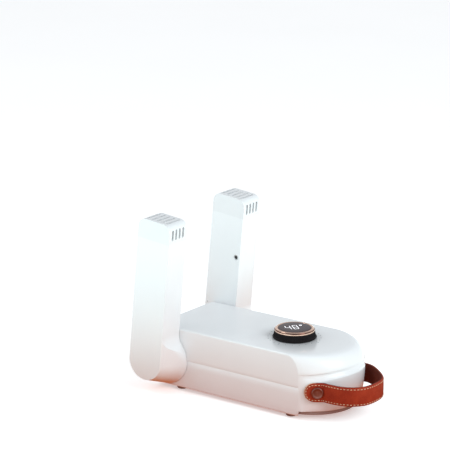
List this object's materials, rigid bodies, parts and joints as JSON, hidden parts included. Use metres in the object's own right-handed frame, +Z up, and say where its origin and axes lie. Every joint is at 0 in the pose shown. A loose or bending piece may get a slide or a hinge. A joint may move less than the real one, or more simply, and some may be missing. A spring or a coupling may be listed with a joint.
{
  "type": "boot dryer",
  "caption": "Folding boot dryer: white casing with a display dial and a leather carry strap, and swing-up hollow arms that blow warm air into boots.",
  "frame": {"origin": "on the surface under the feet, below the middle of the whole dryer", "axes": "+X from the mains inlet towards the strap, +Y to the dryer's left, +Z up"},
  "size_m": [0.278, 0.1668, 0.2011],
  "materials": {
    "white_gloss": "glossy moulded ABS, white",
    "white_satin": "satin moulded ABS, off-white",
    "taupe_plastic": "matt moulded plastic, taupe",
    "dark_plastic": "matt moulded plastic, near black",
    "smoked_window": "polished smoked acrylic",
    "rose_gold": "polished rose-gold plating",
    "rivet_copper": "brushed rose-brown metal",
    "grey_ink": "printed grey marks",
    "foot_rubber": "soft moulded rubber",
    "saddle_leather": "red-brown saddle leather with cream stitching",
    "lining_leather": "split leather lining",
    "circuit_board": "green solder mask",
    "copper_winding": "taped winding",
    "steel": "plain steel",
    "fin_aluminium": "pressed aluminium",
    "mica_board": "heat-proof board",
    "duct_plastic": "grey heat-proof plastic",
    "bush_plastic": "acetal"
  },
  "bodies": {
    "base": {"upper_shell": "white_gloss", "lower_shell": "white_gloss", "front_bumper": "white_gloss", "base_plate": "taupe_plastic", "intake_grille": "taupe_plastic", "base_screws": "steel", "foot_front_right": "foot_rubber", "foot_front_left": "foot_rubber", "foot_rear_right": "foot_rubber", "foot_rear_left": "foot_rubber", "leather_strap": "saddle_leather", "strap_lining": "lining_leather", "strap_rivet_right": "rivet_copper", "strap_rivet_left": "rivet_copper", "dial_marks": "grey_ink", "dial_seat": "white_satin", "push_switch": "dark_plastic", "dial_encoder": "circuit_board", "main_board": "circuit_board", "power_transformer": "copper_winding", "board_posts": "white_satin", "fan_housing": "dark_plastic", "fan_motor": "steel", "heater_frame": "mica_board", "heater_fins": "fin_aluminium", "air_duct": "duct_plastic", "mains_inlet": "dark_plastic", "inlet_pins": "steel", "pivot_tube_right": "steel", "pivot_tube_left": "steel", "pivot_clip_right": "steel", "pivot_clip_left": "steel"},
    "dial": {"dial_skirt": "dark_plastic", "dial_trim": "rose_gold"},
    "display": {"display_window": "smoked_window", "display_holder": "dark_plastic"},
    "fan": {"fan_wheel": "duct_plastic"},
    "right_arm": {"arm_housing_right": "white_gloss", "arm_cover_right": "white_gloss", "arm_outlet_right": "white_satin", "arm_vent_right": "white_satin", "arm_bush_right": "bush_plastic"},
    "left_arm": {"arm_housing_left": "white_gloss", "arm_cover_left": "white_gloss", "arm_outlet_left": "white_satin", "arm_vent_left": "white_satin", "arm_bush_left": "bush_plastic"}
  },
  "joints": [
    {"name": "right_arm_fold", "type": "hinge", "parent": "base", "child": "right_arm", "pos_m": [-0.11005, -0.0524, 0.035], "axis": [0, 1, 0], "range_deg": [0, 84.5]},
    {"name": "left_arm_fold", "type": "hinge", "parent": "base", "child": "left_arm", "pos_m": [-0.11005, 0.0524, 0.035], "axis": [0, 1, 0], "range_deg": [0, 84.5]},
    {"name": "dial_turn", "type": "hinge", "parent": "base", "child": "dial", "pos_m": [0.02695, 0, 0.076], "axis": [0, 0, 1], "continuous": true},
    {"name": "display_press", "type": "slide", "parent": "base", "child": "display", "axis": [0, 0, -1], "range_m": [0, 0.0012], "stiffness_N_per_m": 800, "springref_m": -0.0008},
    {"name": "fan_spin", "type": "hinge", "parent": "base", "child": "fan", "pos_m": [-0.07404, 0, 0.038], "axis": [1, 0, 0], "continuous": true}
  ]
}
